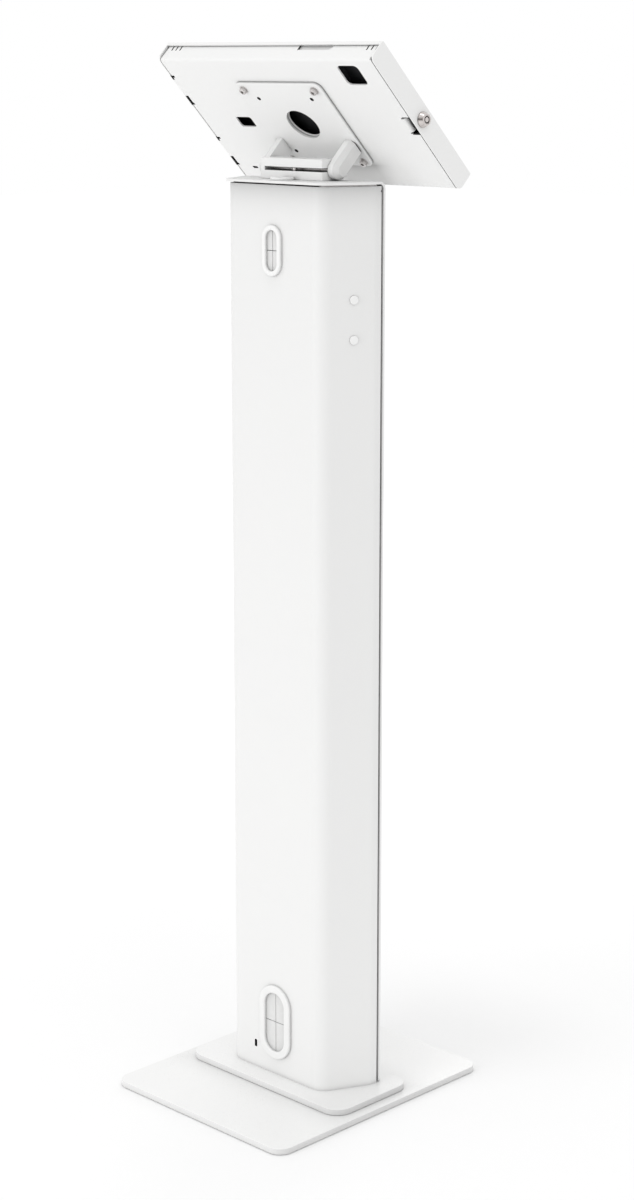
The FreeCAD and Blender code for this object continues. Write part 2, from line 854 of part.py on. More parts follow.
def make_mounting_plate():
    centre = (plate_top - plate_bottom) / 2
    wire = rectangle(plate_width, plate_top + plate_bottom, plate_corner, 0, centre)
    plate = along_z(wire, 0, plate_thickness)
    plate = plate.makeChamfer(edge_break, edges_at(plate, "Z", 0))
    tools = through([vec(0, plate_hole_u, 0)], plate_hole_diameter / 2, -1, plate_thickness + 1)
    shank = plate_screw_shank / 2 + screw_clearance
    tools += through(square_points(screw_square), shank, -1, plate_thickness + 1)
    tools += through(square_points(small_square), small_hole_diameter / 2, -1, plate_thickness + 1)
    down = vec(0, 0, -1)
    for p in arm_screw_points():
        hole = countersunk(p, down, arm_screw_head, arm_screw_shank, plate_thickness + 1, fit_gap)
        tools += both_sides(hole)
    return cut(plate, tools)


def make_plate_washers():
    discs = through(square_points(screw_square), plate_washer_diameter / 2, -plate_washer_thickness, 0)
    holes = through(square_points(screw_square), plate_screw_shank / 2 + screw_clearance, -1, 1)
    return Part.makeCompound([disc.cut(hole) for disc, hole in zip(discs, holes)])


def make_plate_screws():
    screws = []
    top = -plate_washer_thickness - plate_screw_head_height
    for p in square_points(screw_square):
        head = rod(plate_screw_head / 2, p + vec(0, 0, top), p + vec(0, 0, -plate_washer_thickness))
        head = head.makeFillet(plate_screw_round, edges_at(head, "Z", top))
        socket = along_z(hexagon(plate_screw_socket, p.x, p.y), top - 1, top + plate_screw_socket_depth)
        end = tray_inner_w + insert_height
        shank = rod(plate_screw_shank / 2, p + vec(0, 0, -plate_washer_thickness), p + vec(0, 0, end))
        screws.append(fuse([head, shank]).cut(socket))
    return Part.makeCompound(screws)


def make_plate_inserts():
    end = tray_inner_w + insert_height
    rings = through(square_points(screw_square), insert_diameter / 2, tray_inner_w, end)
    holes = through(square_points(screw_square), plate_screw_shank / 2 + fit_gap, 0, end + 1)
    return Part.makeCompound([ring.cut(hole) for ring, hole in zip(rings, holes)])


# Rear tray of the enclosure

def window(width, height, corner, x, u):
    return along_z(rectangle(width, height, corner, x, u), tray_w - 1, tray_inner_w + 1)


def vents(centre_x):
    slots = []
    for i in range(vent_count):
        x = centre_x + vent_pitch * (i - (vent_count - 1) / 2)
        slots.append(block(x - vent_width / 2, x + vent_width / 2, tray_height / 2 - 2 * case_sheet,
                           tray_height / 2 + 1, vent_bottom, tray_flange_w + 1))
    return slots


def top_notch():
    wire = outline([(top_notch_right, top_notch_bottom + top_notch_slope, 2 * top_notch_corner),
                    (top_notch_right + top_notch_slope, top_notch_bottom, top_notch_corner),
                    (top_notch_left, top_notch_bottom, top_notch_corner),
                    (top_notch_left, tray_flange_w + 1, 0),
                    (top_notch_right, tray_flange_w + 1, 0)])
    return along_y(wire, tray_height / 2 - 2 * case_sheet, tray_height / 2 + 1)


def hook_sides():
    """The start and direction of each hook along the left edge, from the top of the panel down."""
    return [centre + hook_notch_length / 2 for centre in (hook_notch_centre, -hook_notch_centre)]


def make_strike_tab():
    """Tab that stands up from the tray beside the lock, with the catch that the cam turns under."""
    root = [(-strike_notch_x, tray_w, 0), (-strike_tab_x, tray_w, strike_tab_bend)]
    plain = root + [(-strike_tab_x, tray_inner_w + strike_tab_height, 0)]
    tab = along_y(sheet(plain, -case_sheet), -strike_tab_half, strike_tab_half)
    catch_w = lock_w + cam_half_width + catch_clearance
    hooked = root + [(-strike_tab_x, catch_w, catch_bend), (-strike_tab_x - catch_reach, catch_w, 0)]
    catch = along_y(sheet(hooked, -case_sheet), catch_start_u, catch_start_u + catch_width)
    return fuse([tab, catch])


def make_rear_tray():
    half = tray_height / 2
    path = [(half, tray_flange_w, 0), (half, tray_w, tray_bend), (-half, tray_w, tray_bend),
            (-half, tray_flange_w, 0)]
    pan = along_x(sheet(path, -case_sheet), -tray_half_width, tray_half_width)
    side = [(tray_half_width, tray_w - 1, 0), (tray_half_width, tray_inner_w, 0),
            (tray_half_width - flange_end_relief, tray_flange_w + 1, 0)]
    ends = along_y(outline(side + [(-x, w, radius) for x, w, radius in side[::-1]]), -half - 1, half + 1)
    pan = pan.common(ends)
    hole = plate_hole_diameter / 2 - tray_hole_margin
    tools = through([vec(0, plate_hole_u, 0)], hole, tray_w - 1, tray_inner_w + 1)
    shank = plate_screw_shank / 2 + screw_clearance
    tools += through(square_points(screw_square), shank, 0, tray_inner_w + 1)
    tools += through(square_points(small_square), small_hole_diameter / 2, 0, tray_inner_w + 1)
    tools += [window(camera_window_width, camera_window_height, camera_window_corner, camera_window_x,
                     camera_window_u),
              window(side_window_width, side_window_height, side_window_corner, side_window_x, 0),
              window(small_window_width, small_window_height, small_window_corner, small_window_x,
                     small_window_u),
              top_notch()]
    tools += vents(vent_left_x) + vents(vent_right_x)
    tools.append(block(-tray_half_width - 1, -strike_notch_x, -strike_notch_half, strike_notch_half,
                       tray_w - 1, tray_inner_w + 1))
    tabs = []
    for start in hook_sides():
        tab_end = start - hook_tab_start - hook_tab_length
        low = start - hook_notch_length
        for depth, first, last in ((hook_relief_depth, low, tab_end),
                                   (hook_corner_depth, low, low + hook_corner_length),
                                   (hook_corner_depth, start - hook_corner_length, start),
                                   (hook_clearance, start - hook_tab_start, start)):
            tools.append(block(tray_half_width - depth, tray_half_width + 1, first, last,
                               tray_w - 1, tray_inner_w + 1))
        tabs.append(block(tray_half_width - 1, wall_outer_x, tab_end, tab_end + hook_tab_length,
                          tray_w, tray_inner_w))
    return fuse([cut(pan, tools)] + tabs)


# Front bezel

def make_front_bezel():
    half = case_height / 2
    path = [(half, lip_w, 0), (half, case_front_w, case_front_round), (-half, case_front_w, case_front_round),
            (-half, lip_w, 0)]
    face = along_x(sheet(path, case_sheet), -wall_outer_x, wall_outer_x)
    wall_wire = outline([(half, case_front_w, case_front_round), (-half, case_front_w, case_front_round),
                         (-half, tray_w, wall_corner), (half, tray_w, wall_corner)])
    wall = along_x(wall_wire, wall_inner_x, wall_outer_x)
    shell = fuse([face] + both_sides(wall))
    aperture = along_z(rectangle(aperture_width, aperture_height, aperture_corner), bezel_inner_w - 1,
                       case_front_w + 1)
    tools = [aperture]
    for start in hook_sides():
        high = start - hook_tab_start + hook_tab_clearance
        low = start - hook_tab_start - hook_tab_length - hook_tab_clearance
        tools.append(block(wall_inner_x - 1, wall_outer_x + 1, low, high,
                           tray_w - 1, tray_w + hook_notch_depth))
    tools.append(rod(lock_body_diameter / 2 + fit_gap, vec(-wall_outer_x - 1, lock_u, lock_w),
                     vec(-wall_inner_x + 1, lock_u, lock_w)))
    shell = cut(shell, tools)
    tongue_u = tray_height / 2 - case_sheet - tongue_gap
    tongue = block(top_notch_right - tongue_margin, top_notch_left + tongue_margin,
                   tongue_u - tongue_sheet, tongue_u,
                   top_notch_bottom - tongue_margin, bezel_inner_w + case_sheet / 2)
    return fuse([shell, tongue])


def make_foam_ring():
    inner = 2 * foam_ring_margin
    outer = inner + 2 * foam_ring_width
    ring = rectangle(aperture_width + outer, aperture_height + outer, aperture_corner)
    hole = rectangle(aperture_width + inner, aperture_height + inner, aperture_corner)
    low = bezel_inner_w - foam_ring_thickness
    return along_z(ring, low, bezel_inner_w).cut(along_z(hole, low - 1, bezel_inner_w + 1))


# Lock

def at_lock(shape):
    return shape.translated(vec(0, lock_u, lock_w))


def make_lock_housing():
    bore = lock_bore_diameter / 2
    body = lock_body_diameter / 2
    collar = lock_collar_diameter / 2
    face = -wall_outer_x - lock_proud
    return at_lock(lathe([(face, bore, 0), (face, lock_face_diameter / 2, lock_edge_round),
                          (-wall_outer_x - lock_rim, collar, lock_edge_round),
                          (-wall_outer_x, collar, 0), (-wall_outer_x, body, 0),
                          (-lock_body_end_x, body, 0), (-lock_body_end_x, bore, 0)]))


def make_lock_nut():
    nut = along_x(hexagon(lock_nut_flats), -wall_inner_x, -wall_inner_x + lock_nut_thickness)
    bore = rod(lock_body_diameter / 2 + fit_gap, vec(-wall_outer_x, 0, 0), vec(-cam_inner_x, 0, 0))
    return at_lock(nut.cut(bore))


def make_lock_barrel():
    radius = lock_bore_diameter / 2 - lock_running_gap
    face = -wall_outer_x - lock_proud + lock_running_gap
    barrel = lathe([(face, 0, 0), (face, radius, lock_edge_round / 2), (-cam_outer_x, radius, 0),
                    (-cam_outer_x, cam_spigot_diameter / 2, 0), (-cam_inner_x, cam_spigot_diameter / 2, 0),
                    (-cam_inner_x, 0, 0)])
    start = vec(face - 1, 0, 0)
    end = vec(face + lock_key_depth, 0, 0)
    groove = rod(lock_key_outer / 2, start, end).cut(rod(lock_key_inner / 2, start, end))
    notch = block(face - 1, face + lock_key_depth, -lock_key_notch / 2, lock_key_notch / 2, -radius - 1,
                  -(lock_key_inner + lock_key_outer) / 4)
    notch.rotate(vec(0, 0, 0), vec(1, 0, 0), lock_key_turn)
    thread = rod(cam_screw_shank / 2 + fit_gap, vec(-cam_inner_x - cam_screw_length, 0, 0),
                 vec(-cam_inner_x + 1, 0, 0))
    return at_lock(cut(barrel, [groove, notch, thread]))


def make_lock_cam():
    tip = cam_half_width - cam_taper
    wire = outline([(-cam_half_width, cam_half_width, cam_root_radius), (-tip, -cam_reach, cam_tip_radius),
                    (tip, -cam_reach, cam_tip_radius), (cam_half_width, cam_half_width, cam_root_radius)])
    cam = along_x(wire, -cam_outer_x, -cam_inner_x)
    hole = rod(cam_spigot_diameter / 2 + fit_gap, vec(-cam_outer_x - 1, 0, 0), vec(-cam_inner_x + 1, 0, 0))
    return at_lock(cam.cut(hole))


def make_cam_screw():
    head = rod(cam_screw_head / 2, vec(-cam_inner_x, 0, 0), vec(-cam_inner_x + cam_screw_head_height, 0, 0))
    tip = vec(-cam_inner_x - cam_screw_length + fit_gap, 0, 0)
    shank = rod(cam_screw_shank / 2, tip, vec(-cam_inner_x, 0, 0))
    return at_lock(fuse([head, shank]))


# Tablet and what holds it

def make_tablet_body():
    body = along_z(rectangle(tablet_width, tablet_height, tablet_corner), tablet_back_w, glass_back_w)
    return body.makeFillet(tablet_edge_round, edges_at(body, "Z", tablet_back_w))


def make_tablet_screen():
    inset = 2 * glass_inset
    wire = rectangle(tablet_width - inset, tablet_height - inset, tablet_corner - glass_inset)
    return along_z(wire, glass_back_w, glass_front_w)


def make_foam_pads():
    across = (screw_square + insert_diameter + pad_width) / 2 + pad_clearance
    along = (tablet_height - pad_height) / 2 - pad_end
    pads = [along_z(rectangle(pad_width, pad_height, 0, x, u), tray_inner_w, tablet_back_w)
            for x in (-across, across) for u in (-along, along)]
    return Part.makeCompound(pads)


def make_side_bracket():
    outer = tablet_width / 2 + side_bracket_gap + side_bracket_sheet
    path = [(outer - side_bracket_foot, tray_inner_w, 0), (outer, tray_inner_w, side_bracket_bend),
            (outer, tray_inner_w + side_bracket_height, 0)]
    half = side_bracket_length / 2
    return along_y(sheet(path, side_bracket_sheet), -half, half)


stand_parts = {
    "base_mat": make_base_mat(),
    "base_plate": make_base_plate(),
    "base_gasket": make_base_gasket(),
    "flange_plate": make_flange_plate(),
    "base_screws": make_base_screws(),
    "column_body": make_column_body(),
    "front_cover": make_front_cover(),
    "cover_hooks": make_cover_hooks(),
    "lid_bracket": make_lid_bracket(),
    "upper_grommet_ring": make_grommet_ring(upper_grommet_width, upper_grommet_height,
                                            upper_grommet_opening, upper_grommet_z),
    "upper_grommet_flaps": make_membrane(upper_grommet_width, upper_grommet_height,
                                         upper_grommet_opening, upper_grommet_z),
    "lower_grommet_ring": make_grommet_ring(lower_grommet_width, lower_grommet_height,
                                            lower_grommet_opening, lower_grommet_z),
    "lower_grommet_flaps": make_membrane(lower_grommet_width, lower_grommet_height,
                                         lower_grommet_opening, lower_grommet_z),
    "side_hole_plugs": make_side_plugs(),
    "lid_hole_plug": make_lid_plug(),
    "hinge_block": make_hinge_block(),
    "clamp_screw": make_clamp_screw(),
    "hinge_block_screws": make_block_screws(),
}

head_parts = {
    "tilt_axle": axle_form(0),
    "axle_washers": make_washers(),
    "left_arm": make_arm(),
    "right_arm": mirrored(make_arm()),
    "left_arm_cover": make_arm_cover(),
    "right_arm_cover": mirrored(make_arm_cover()),
    "arm_screws": make_arm_screws(),
    "mounting_plate": make_mounting_plate(),
    "plate_washers": make_plate_washers(),
    "plate_screws": make_plate_screws(),
    "plate_inserts": make_plate_inserts(),
    "rear_tray": make_rear_tray(),
    "lock_strike": make_strike_tab(),
    "front_bezel": make_front_bezel(),
    "bezel_foam_ring": make_foam_ring(),
    "lock_housing": make_lock_housing(),
    "lock_nut": make_lock_nut(),
    "lock_barrel": make_lock_barrel(),
    "lock_cam": make_lock_cam(),
    "cam_screw": make_cam_screw(),
    "tablet_body": make_tablet_body(),
    "tablet_screen": make_tablet_screen(),
    "tablet_foam_pads": make_foam_pads(),
    "left_tablet_bracket": make_side_bracket(),
    "right_tablet_bracket": mirrored(make_side_bracket()),
}

os.makedirs("parts", exist_ok=True)
finished = dict(stand_parts)
finished.update({node: on_panel(shape) for node, shape in head_parts.items()})
for node, shape in finished.items():
    shape.exportStep("parts/" + node + ".step")
    state = "valid" if shape.isValid() else "BAD"
    print(node, len(shape.Solids), "solids,", round(shape.Volume), "cubic mm,", state)
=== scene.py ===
# %% [markdown]
# # A floor stand for a tablet
# The stand is a heavy base plate, a folded sheet-metal column, and a lockable case that tilts on a
# split hinge block. The metal shapes arrive ready made, as one fixed frame in metres: the origin is on
# the floor under the base, +Z is up, and the screen faces -Y. This lesson gives them their finishes,
# and lights and frames the scene. Nothing in the frame is moved or reshaped.

# %% Load the frame
import bmesh
import bpy
import math
from mathutils import Matrix, Vector


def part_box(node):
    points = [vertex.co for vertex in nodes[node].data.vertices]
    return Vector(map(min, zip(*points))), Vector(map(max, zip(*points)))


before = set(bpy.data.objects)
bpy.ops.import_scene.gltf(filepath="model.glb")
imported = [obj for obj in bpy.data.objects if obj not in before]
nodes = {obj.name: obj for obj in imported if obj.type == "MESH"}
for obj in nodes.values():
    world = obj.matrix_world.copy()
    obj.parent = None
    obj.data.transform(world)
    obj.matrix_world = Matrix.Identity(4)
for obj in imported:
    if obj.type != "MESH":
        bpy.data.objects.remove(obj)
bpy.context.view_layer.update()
MM = 0.001

# %% [markdown]
# ## The camera
# The picture was taken from behind and to one side, from a little above the head, with a long lens. The
# place, the turn and the lens were worked out from straight edges whose real directions are known: the
# base, the column and the head. A long lens keeps the column's sides nearly parallel, so the frame's
# proportions read well.

# %% Set up the camera
CAMERA_PLACE = Vector((-1.72384, 1.70993, 1.08989))
CAMERA_TURN = math.radians(44.761)
CAMERA_DIP = math.radians(12.827)

lens = bpy.data.cameras.new("camera")
lens.lens = 71.25
lens.sensor_width = 36.0
lens.clip_end = 100.0
camera = bpy.data.objects.new("camera", lens)
bpy.context.scene.collection.objects.link(camera)
sight = Vector((math.sin(CAMERA_TURN) * math.cos(CAMERA_DIP),
                -math.cos(CAMERA_TURN) * math.cos(CAMERA_DIP),
                -math.sin(CAMERA_DIP)))
camera.location = CAMERA_PLACE
camera.rotation_euler = sight.to_track_quat("-Z", "Y").to_euler()
bpy.context.scene.camera = camera
print("The camera looks along", [round(part, 3) for part in sight])

# %% [markdown]
# ## Writing shader maths as sums
# A finish is a small network of nodes. Linking them by hand hides the idea behind the wiring, so one
# small class wraps a socket and lets it be added, subtracted and multiplied like a number. Every other
# node comes from one method.

# %% A socket that can be used in sums
BLACK = (0.0, 0.0, 0.0)


class Signal:
    """A shader value: an expression on it adds the Math nodes that work it out."""

    def __init__(self, finish, socket):
        self.finish = finish
        self.socket = socket

    def sum_of(self, operation, first, second):
        return self.finish.node("ShaderNodeMath", {"operation": operation}, {0: first, 1: second})

    def __add__(self, other):
        return self.sum_of("ADD", self, other)

    def __radd__(self, other):
        return self.sum_of("ADD", other, self)

    def __sub__(self, other):
        return self.sum_of("SUBTRACT", self, other)

    def __rsub__(self, other):
        return self.sum_of("SUBTRACT", other, self)

    def __mul__(self, other):
        return self.sum_of("MULTIPLY", self, other)

    def __rmul__(self, other):
        return self.sum_of("MULTIPLY", other, self)

    def between(self, low, high):
        """1 where the value lies between two limits, and 0 elsewhere."""
        return self.above(low) * self.below(high)

    def above(self, other):
        return self.sum_of("GREATER_THAN", self, other)

    def below(self, other):
        return self.sum_of("LESS_THAN", self, other)

    def size(self):
        return self.finish.node("ShaderNodeMath", {"operation": "ABSOLUTE"}, {0: self})


class Finish:
    """A material under construction, with a Principled shader at its end."""

    def __init__(self, name, **constants):
        self.material = bpy.data.materials.new(name)
        self.material.use_nodes = True
        self.tree = self.material.node_tree
        self.tree.nodes.clear()
        output = self.tree.nodes.new("ShaderNodeOutputMaterial")
        self.shader = self.tree.nodes.new("ShaderNodeBsdfPrincipled")
        self.tree.links.new(self.shader.outputs["BSDF"], output.inputs["Surface"])
        for name_with_gaps, value in constants.items():
            self.feed(self.shader.inputs[name_with_gaps.replace("_", " ")], value)

    def feed(self, socket, value):
        if isinstance(value, Signal):
            self.tree.links.new(value.socket, socket)
        elif isinstance(value, (tuple, list, Vector)) and socket.type == "RGBA":
            socket.default_value = (*value, 1.0)
        else:
            socket.default_value = value

    def node(self, kind, settings, inputs, output=0):
        """Adds a node: its settings first, then the values or links of its sockets."""
        made = self.tree.nodes.new(kind)
        for setting, value in settings.items():
            setattr(made, setting, value)
        for socket, value in inputs.items():
            self.feed(made.inputs[socket], value)
        return Signal(self, made.outputs[output])

    def place(self, centre=(0, 0, 0), turn=(0, 0, 0), stretch=(1, 1, 1)):
        """Where a point lies on the object, measured from a centre and along turned axes."""
        here = self.node("ShaderNodeTexCoord", {}, {}, "Object")
        moved = self.node("ShaderNodeVectorMath", {"operation": "SUBTRACT"}, {0: here, 1: centre})
        return self.node("ShaderNodeMapping", {"vector_type": "POINT"},
                         {"Vector": moved, "Rotation": turn, "Scale": stretch})

    def part(self, place, axis):
        return self.node("ShaderNodeSeparateXYZ", {}, {"Vector": place}, axis)

    def grain(self, place, size, detail=2.0, rough=0.5):
        """Soft noise whose features are about the given size in metres."""
        inputs = {"Vector": place, "Scale": 1.0 / size, "Detail": detail, "Roughness": rough}
        return self.node("ShaderNodeTexNoise", {"noise_dimensions": "3D"}, inputs, "Fac")

    def spots(self, place, count, output):
        """Cells, count of them to the metre: the distance from their centres or a colour for each."""
        inputs = {"Vector": place, "Scale": count}
        return self.node("ShaderNodeTexVoronoi", {"feature": "F1"}, inputs, output)

    def blend(self, factor, first, second):
        made = self.tree.nodes.new("ShaderNodeMix")
        made.data_type = "RGBA"
        for socket, value in ((0, factor), (6, first), (7, second)):
            self.feed(made.inputs[socket], value)
        return Signal(self, made.outputs[2])

    def hidden(self, reach):
        """How much of a point's view is blocked within reach: 0 on an open face, 1 deep inside."""
        return 1 - self.node("ShaderNodeAmbientOcclusion", {"samples": 8}, {"Distance": reach}, "AO")

    def with_painted_shade(self, colour, reach=0.008, corner=1.0, cavity=1.0):
        """The colour with painted shade: a little darker in a corner and nearly black in a gap or inside a
        closed case.
        """
        near = self.hidden(reach)
        shade = corner * (near * near)
        if cavity:
            far = self.hidden(5 * reach)
            far = far * far
            far = far * far
            shade = shade + cavity * (far * far)
        return self.blend(shade, colour, BLACK)

    def set(self, **inputs):
        for name_with_gaps, value in inputs.items():
            self.feed(self.shader.inputs[name_with_gaps.replace("_", " ")], value)

    def relief(self, height, depth, strength=1.0, edge=0.0):
        """Small relief from a height between 0 and 1; an edge radius also softens the corners."""
        inputs = {"Height": height, "Distance": depth, "Strength": strength}
        if edge:
            inputs["Normal"] = self.node("ShaderNodeBevel", {"samples": 4}, {"Radius": edge})
        self.set(Normal=self.node("ShaderNodeBump", {}, inputs))


print("Finishes are ready to be written.")

# %% [markdown]
# ## Light and backdrop
# The product was lit in a bright white room, so nearly every side is almost as light as the next, and
# the shadows are faint. An even world light does most of that. Three broad soft lamps and a weak, wide
# sun make the rear face and the top a little lighter than the far side. White paint close to pure white
# clips easily, so the lamps stay low, and the floor gets its white from a faint glow that only the
# camera and reflections see, not from more light.

# %% Light the room
scene = bpy.context.scene
scene.view_settings.view_transform = "Standard"
ROOM_LIGHT = 0.92
WHITE_LIGHT = (1.0, 1.0, 1.0, 1.0)

world = bpy.data.worlds.new("white_room")
scene.world = world
world.use_nodes = True
room = world.node_tree
room.nodes.clear()
room_output = room.nodes.new("ShaderNodeOutputWorld")
room_light = room.nodes.new("ShaderNodeBackground")
room_light.inputs["Color"].default_value = WHITE_LIGHT
room_light.inputs["Strength"].default_value = ROOM_LIGHT
room_seen = room.nodes.new("ShaderNodeBackground")
room_seen.inputs["Color"].default_value = WHITE_LIGHT
room_choice = room.nodes.new("ShaderNodeMixShader")
ray = room.nodes.new("ShaderNodeLightPath")
looking = room.nodes.new("ShaderNodeMath")
looking.operation = "MAXIMUM"
looking_through = room.nodes.new("ShaderNodeMath")
looking_through.operation = "MAXIMUM"
room.links.new(ray.outputs["Is Camera Ray"], looking.inputs[0])
room.links.new(ray.outputs["Is Glossy Ray"], looking.inputs[1])
room.links.new(looking.outputs[0], looking_through.inputs[0])
room.links.new(ray.outputs["Is Transmission Ray"], looking_through.inputs[1])
room.links.new(looking_through.outputs[0], room_choice.inputs["Fac"])
room.links.new(room_light.outputs[0], room_choice.inputs[1])
room.links.new(room_seen.outputs[0], room_choice.inputs[2])
room.links.new(room_choice.outputs[0], room_output.inputs["Surface"])


def soft_lamp(name, place, aim, width, power):
    shape = bpy.data.lights.new(name, "AREA")
    shape.shape = "SQUARE"
    shape.size = width
    shape.energy = power
    lamp = bpy.data.objects.new(name, shape)
    scene.collection.objects.link(lamp)
    lamp.location = place
    lamp.rotation_euler = (Vector(aim) - Vector(place)).to_track_quat("-Z", "Y").to_euler()
    print(name, "shines", power, "W from", place)


soft_lamp("rear_lamp", (0.6, 2.6, 0.7), (0, 0, 0.4), 1.6, 14)
soft_lamp("side_lamp", (-1.6, 0.3, 2.6), (0, 0, 0.4), 1.4, 4)
soft_lamp("far_lamp", (1.35, -2.75, 1.35), (0, 0, 0), 1.4, 9)
HIGH_LIGHT = Vector((0.03, 0.22, 1.0))
high_shape = bpy.data.lights.new("high_light", "SUN")
high_shape.energy = 0.20
high_shape.angle = math.radians(10)
high_light = bpy.data.objects.new("high_light", high_shape)
scene.collection.objects.link(high_light)
high_light.rotation_euler = (-HIGH_LIGHT).to_track_quat("-Z", "Y").to_euler()
print("A weak, wide light from high behind gives the floor its shadow.")

# %% Lay the floor
bench = bmesh.new()
bmesh.ops.create_grid(bench, x_segments=1, y_segments=1, size=14.0)
floor_mesh = bpy.data.meshes.new("floor")
bench.to_mesh(floor_mesh)
bench.free()
floor = bpy.data.objects.new("floor", floor_mesh)
scene.collection.objects.link(floor)
paper = Finish("white_paper", Base_Color=(0.90, 0.90, 0.90), Roughness=1.0, Specular_IOR_Level=0.0,
               Emission_Strength=1.0)
metres_away = paper.node("ShaderNodeVectorMath", {"operation": "LENGTH"}, {0: paper.place()}, "Value")
glow = paper.blend(0.4 * metres_away, (0.012, 0.012, 0.012), (0.13, 0.13, 0.13))
seen = paper.node("ShaderNodeLightPath", {}, {}, "Is Camera Ray")
mirrored = paper.node("ShaderNodeLightPath", {}, {}, "Is Glossy Ray")
paper.set(Emission_Color=paper.blend(seen + mirrored, (0.0, 0.0, 0.0), glow))
floor_mesh.materials.append(paper.material)
print("The floor is", round(floor.dimensions.x), "m wide.")

# %% [markdown]
# ## White powder coat
# The steel is sprayed with powder and baked. The skin flows together to an even satin, with a very fine
# orange peel that is only seen where a highlight breaks up. A slow drift in tone keeps the large faces
# from looking flat. In a corner between two pieces the colour carries a little painted shade, and inside a
# closed case painted shade makes it nearly black, because a room with real walls sends less light there
# than an even white world does.

# %% Write the powder coat
def powder_coat(name, colour, rough=0.40, corner=1.0, cavity=1.0):
    coat = Finish(name, IOR=1.5, Specular_IOR_Level=0.42)
    here = coat.place()
    peel = coat.grain(here, 0.0011, 3.0, 0.55)
    drift = coat.grain(here, 0.16, 2.0)
    even = coat.blend(drift, [0.985 * part for part in colour], colour)
    # Painted shade in corners, in gaps and inside the closed case.
    coat.set(Base_Color=coat.with_painted_shade(even, 0.008, corner, cavity),
             Roughness=rough + 0.10 * peel + 0.04 * drift)
    coat.relief(peel, 0.00005, 0.35)
    return coat


def dress(finish, *names):
    for name in names:
        skins = nodes[name].data.materials
        skins.clear()
        skins.append(finish.material)
    print(finish.material.name, "is on", ", ".join(names))


WHITE = (0.83, 0.83, 0.825)
print("The white is", WHITE)

# %% [markdown]
# ## Shading by place
# A mask is a product of comparisons, each of which is 1 inside and 0 outside. Holes, slits and notches
# are painted nearly black inside as painted shade, so they read as dark marks, and a mask picks them out
# by their place. A slope is a mask with a soft edge. It paints shade where a bigger neighbour keeps some
# light away.

# %% Write the masks
# Nearly black, for painted shade.
SHADE_BLACK = (0.012, 0.012, 0.012)


def paint_shade_or_light(coat, mask, painted_tone=SHADE_BLACK):
    """Paints shade, or light when given a light colour, fully where the mask is 1 and in part where it is
    less.
    """
    painted = coat.shader.inputs["Base Color"].links[0].from_socket
    coat.set(Base_Color=coat.blend(mask, Signal(coat, painted), painted_tone))


def slope(coat, value, start, end):
    """Rises from 0 at the start value to 1 at the end value."""
    ramp = coat.node("ShaderNodeMapRange", {}, {"Value": value, "From Min": start, "From Max": end})
    return ramp * ramp


print("The paint can be shaded by place.")

# %% [markdown]
# ## The base and the column
# The base is glossier than the rest, and its white is a little lighter as painted light. Its upright edges
# carry painted shade, greyer than its top, most of all the ones that face away from the lamps. The top
# carries a painted reflection of the flange beside it, and the flange's top a painted shade towards -X.
# The column carries painted shade that greys it towards the head and more just under the lid. The slot
# for a cable lock near its foot is painted nearly black as painted shade.

# %% Paint the base and the column
BASE_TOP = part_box("base_plate")[1][2]
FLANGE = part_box("flange_plate")[1]
COLUMN_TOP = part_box("column_body")[1][2]
LOCK_SLOT = (0.0318, 0.0343, 0.041)
SKIN = 0.00005
# The base's white is a little lighter than the rest: painted light for its well-lit top.
base_paint = powder_coat("base_paint", [1.03 * part for part in WHITE], rough=0.22, corner=0.4, cavity=0.0)
here = base_paint.place()
sideways, backwards, height = [base_paint.part(here, axis) for axis in ("X", "Y", "Z")]
facing = base_paint.node("ShaderNodeNewGeometry", {}, {}, "Normal")
upright = 1 - base_paint.part(facing, "Z").size()
# Painted shade on the upright edges, most on those that face -X, away from the lamps.
paint_shade_or_light(base_paint, upright * (0.09 - 0.08 * base_paint.part(facing, "X")))
# Painted reflection: the base's top darkens close to the flange, as if mirroring it.
on_base = height.below(BASE_TOP + 0.001)
past_flange = base_paint.node("ShaderNodeMath", {"operation": "MAXIMUM"},
                              {0: sideways.size() - FLANGE[0], 1: backwards.size() - FLANGE[1]})
paint_shade_or_light(base_paint, 0.09 * on_base * slope(base_paint, past_flange, 0.040, 0.0))
# Painted shade on the flange's top, darker towards -X.
paint_shade_or_light(base_paint, 0.08 * (1 - on_base) * slope(base_paint, sideways, 0.0, -0.090))
dress(base_paint, "base_plate", "flange_plate")


def coat_shaded_upwards(name, corner):
    """A powder coat with painted shade that greys it a little towards the top of the stand, and the height
    it uses.
    """
    coat = powder_coat(name, WHITE, corner=corner)
    height = coat.part(coat.place(), "Z")
    # Painted shade, stronger with height.
    paint_shade_or_light(coat, 0.07 * height)
    return coat, height


lid_paint, height = coat_shaded_upwards("lid_paint", 0.4)
dress(lid_paint, "front_cover")
column_paint, height = coat_shaded_upwards("column_paint", 1.0)
here = column_paint.place(centre=LOCK_SLOT)
sideways, depth, upwards = [column_paint.part(here, axis).size() for axis in ("X", "Y", "Z")]
# Painted shade: the inside of the cable-lock slot is painted nearly black.
in_slot = sideways.below(0.0020) * upwards.below(0.0044)
paint_shade_or_light(column_paint, in_slot * depth.between(SKIN, 0.0025))
# Painted shadow just under the lid.
shadow_under_lid = slope(column_paint, height, COLUMN_TOP - 0.065, COLUMN_TOP)
paint_shade_or_light(column_paint, 0.30 * shadow_under_lid * shadow_under_lid)
dress(column_paint, "column_body")

# %% [markdown]
# ## The tilted panel
# The mounting plate, the tray and the front shell are tilted by 45 degrees, so their masks measure across,
# along and forward from the rear face of the plate. The plate and the tray share the four holes of the
# small screw square, and the tray and the front shell share the places of the two hooks; all are painted
# nearly black as painted shade. The tray also has a slit window, six vents, a notch for the strike tab and
# a notch at the top, each painted dark as painted shade, with the front shell's tongue behind it. The tray
# carries a painted shadow of the plate just below it, and painted shade along its side seam.

